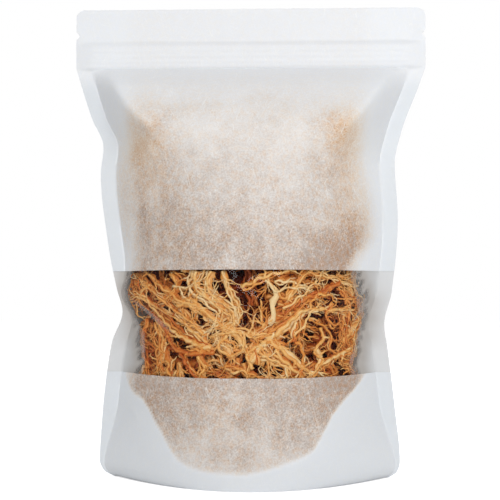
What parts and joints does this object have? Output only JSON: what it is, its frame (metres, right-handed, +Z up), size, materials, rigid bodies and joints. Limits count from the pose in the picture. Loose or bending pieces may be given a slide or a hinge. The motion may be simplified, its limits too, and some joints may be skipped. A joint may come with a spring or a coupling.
{
  "type": "stand-up pouch of dried sea moss",
  "caption": "Filled stand-up pouch of dried sea moss: rice-paper laminate front with a clear window band, zipper header, side seals and an opened bottom gusset.",
  "frame": {"origin": "on the floor, below the middle of the pouch's bounding box", "axes": "+Z up the pouch; +X across its width, to the right when the windowed front is seen; -Y out of the windowed front"},
  "size_m": [0.2034, 0.0975, 0.272],
  "materials": {
    "clear_film": "clear polyester and polyethylene film, glossy, lightly crumpled",
    "rice_paper": "white fibrous rice paper bonded to film, soft sheen, slightly translucent",
    "back_laminate": "rice paper and film laminate, soft sheen",
    "zipper_plastic": "translucent white polyethylene strip",
    "dried_moss": "dried seaweed, golden to reddish brown, matte with a faint horny sheen"
  },
  "bodies": {
    "root": {"front_film_web": "clear_film", "front_paper_panel_upper": "rice_paper", "front_paper_panel_lower": "rice_paper", "back_web": "back_laminate", "bottom_gusset_web": "back_laminate", "zipper_groove_strip": "zipper_plastic", "zipper_rib_strip": "zipper_plastic", "moss_clump_01": "dried_moss", "moss_clump_02": "dried_moss", "moss_clump_03": "dried_moss", "moss_clump_04": "dried_moss", "moss_clump_05": "dried_moss", "moss_clump_06": "dried_moss", "moss_clump_07": "dried_moss", "moss_clump_08": "dried_moss", "moss_clump_09": "dried_moss", "moss_clump_10": "dried_moss", "moss_clump_11": "dried_moss", "moss_clump_12": "dried_moss", "moss_clump_13": "dried_moss", "moss_clump_14": "dried_moss"}
  },
  "joints": []
}
